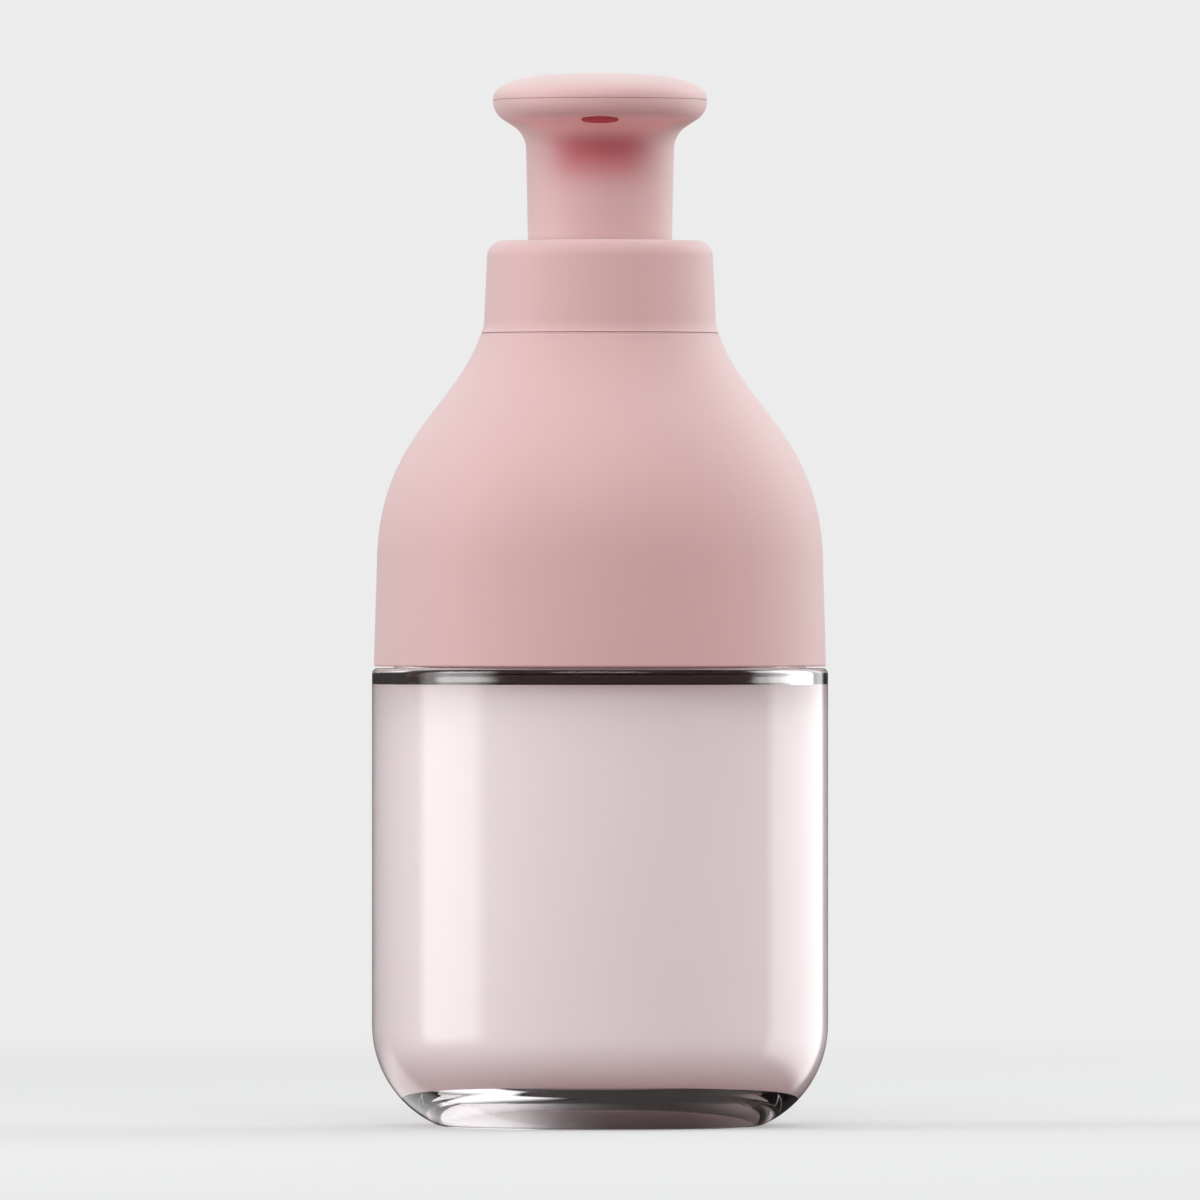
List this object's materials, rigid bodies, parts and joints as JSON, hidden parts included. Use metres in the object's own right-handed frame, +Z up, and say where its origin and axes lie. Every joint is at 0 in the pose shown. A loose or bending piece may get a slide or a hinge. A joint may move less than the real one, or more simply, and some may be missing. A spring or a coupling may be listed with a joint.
{
  "type": "body wash pump bottle",
  "caption": "Pump bottle for body wash: a clear thick-walled vessel of milky liquid under a matte bell-shaped shoulder, with a screw collar and a flared press-down dispensing head.",
  "frame": {"origin": "centre of the foot ring, on the surface the bottle stands on", "axes": "+Z up along the bottle's axis, -Y towards the spout, +X to the right seen from the spout side"},
  "size_m": [0.075, 0.075, 0.1731],
  "materials": {
    "clear_plastic": "clear, polished",
    "body_wash": "milky liquid",
    "pink_plastic": "matte, soft",
    "rubber": "matte",
    "natural_plastic": "as moulded",
    "steel": "bright drawn"
  },
  "bodies": {
    "jar": {"vessel": "clear_plastic", "body_wash": "body_wash"},
    "plug": {"plug_insert": "pink_plastic", "bore_seal": "rubber"},
    "shoulder": {"shoulder": "pink_plastic"},
    "pump": {"neck_gasket": "rubber", "pump_housing": "natural_plastic", "chaplet": "natural_plastic", "dip_tube": "natural_plastic", "ball_cage": "natural_plastic", "return_spring": "steel"},
    "collar": {"closure": "natural_plastic", "collar_cover": "pink_plastic"},
    "piston": {"piston_seal": "natural_plastic"},
    "head": {"stem": "natural_plastic", "nozzle_duct": "pink_plastic", "actuator_shell": "pink_plastic", "actuator_top": "pink_plastic"},
    "inlet_valve": {"inlet_ball": "steel"},
    "outlet_valve": {"outlet_ball": "steel"}
  },
  "joints": [
    {"name": "plug_rise", "type": "slide", "parent": "jar", "child": "plug", "axis": [0, 0, 1], "range_m": [0, 0.0032]},
    {"name": "shoulder_turn", "type": "hinge", "parent": "plug", "child": "shoulder", "pos_m": [0, 0, 0.0756], "axis": [0, 0, 1], "range_deg": [0, 270]},
    {"name": "pump_rise", "type": "slide", "parent": "shoulder", "child": "pump", "axis": [0, 0, 1], "range_m": [0, 0.0032]},
    {"name": "collar_turn", "type": "hinge", "parent": "pump", "child": "collar", "pos_m": [0, 0, 0.1304], "axis": [0, 0, 1], "range_deg": [0, 270]},
    {"name": "head_press", "type": "slide", "parent": "pump", "child": "piston", "axis": [0, 0, -1], "range_m": [0, 0.013], "stiffness_N_per_m": 700, "springref_m": -0.007, "deforming": ["return_spring"]},
    {"name": "head_swivel", "type": "hinge", "parent": "piston", "child": "head", "pos_m": [0, 0, 0.16], "axis": [0, 0, 1], "continuous": true},
    {"name": "inlet_ball_lift", "type": "slide", "parent": "pump", "child": "inlet_valve", "axis": [0, 0, 1], "range_m": [0, 0.001]},
    {"name": "outlet_ball_lift", "type": "slide", "parent": "head", "child": "outlet_valve", "axis": [0, 0, 1], "range_m": [0, 0.001]}
  ],
  "couplings": [
    {"joint": "plug_rise", "follows": "shoulder_turn", "m_per_rad": 0.00066845},
    {"joint": "pump_rise", "follows": "collar_turn", "m_per_rad": 0.00066845}
  ]
}
